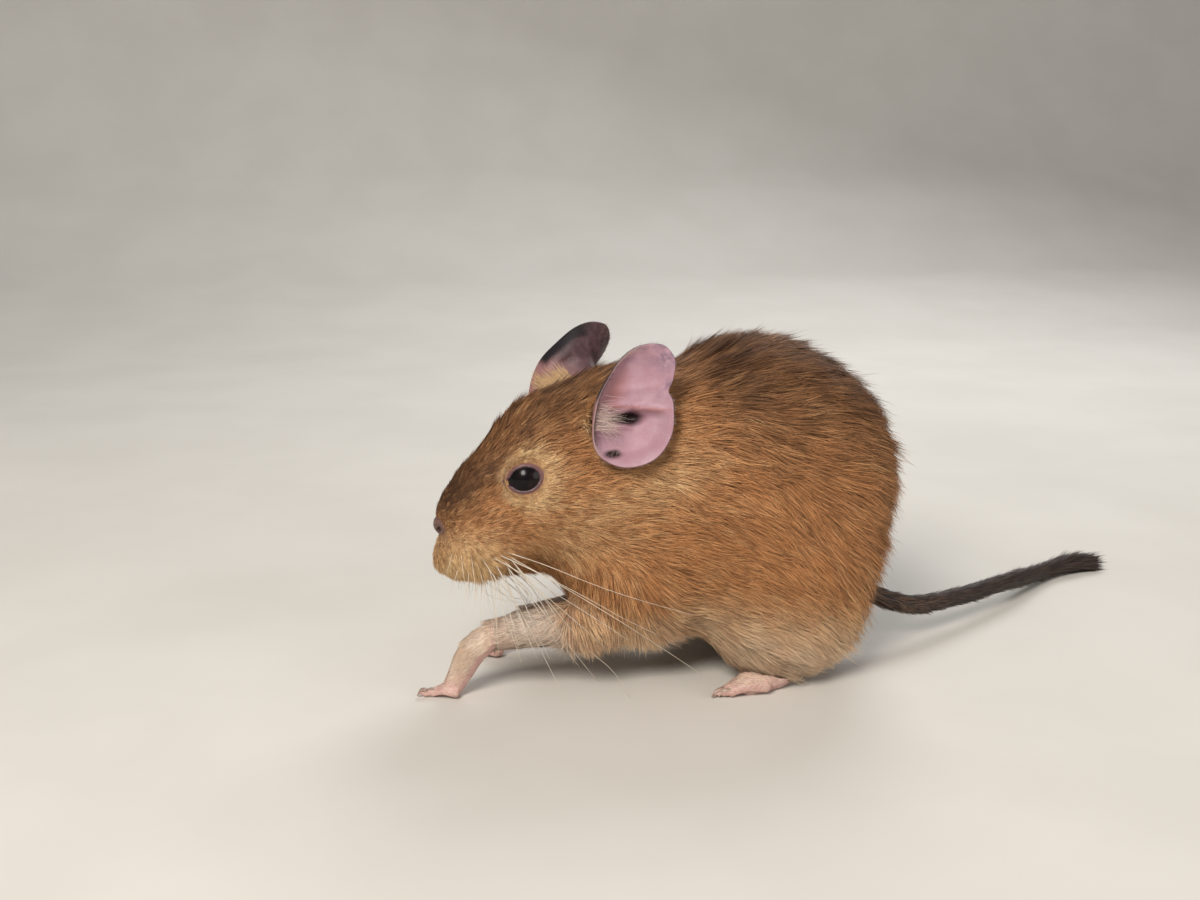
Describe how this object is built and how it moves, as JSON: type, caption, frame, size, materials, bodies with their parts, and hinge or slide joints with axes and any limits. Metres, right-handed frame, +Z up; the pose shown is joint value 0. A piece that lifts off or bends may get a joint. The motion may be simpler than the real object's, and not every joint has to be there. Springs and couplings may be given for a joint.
{
  "type": "degu model",
  "caption": "Life-size still model of a crouched degu with its head low, ears up and tail laid out on the floor behind it.",
  "frame": {"origin": "centre of the bounding box on the floor", "axes": "-X is where the animal faces, -Y is its left side, +Z up from the floor"},
  "size_m": [0.2048, 0.0831, 0.0837],
  "materials": {
    "coat": "dense agouti coat, orange brown with dark tips",
    "face_coat": "short coat, yellowish brown",
    "ear_skin": "thin bare skin, pink with dark margins",
    "paw_skin": "bare pink skin with pale claws",
    "eye": "wet black",
    "tail_coat": "bristly black-brown hair"
  },
  "bodies": {
    "root": {"torso": "coat", "neck": "coat", "head": "face_coat", "thigh_left": "coat", "hind_foot_left": "paw_skin", "foreleg_left": "face_coat", "forepaw_left": "paw_skin", "ear_left": "ear_skin", "eye_left": "eye", "thigh_right": "coat", "hind_foot_right": "paw_skin", "foreleg_right": "face_coat", "forepaw_right": "paw_skin", "ear_right": "ear_skin", "eye_right": "eye", "tail_root": "tail_coat", "tail_middle": "tail_coat", "tail_brush": "tail_coat"}
  },
  "joints": []
}
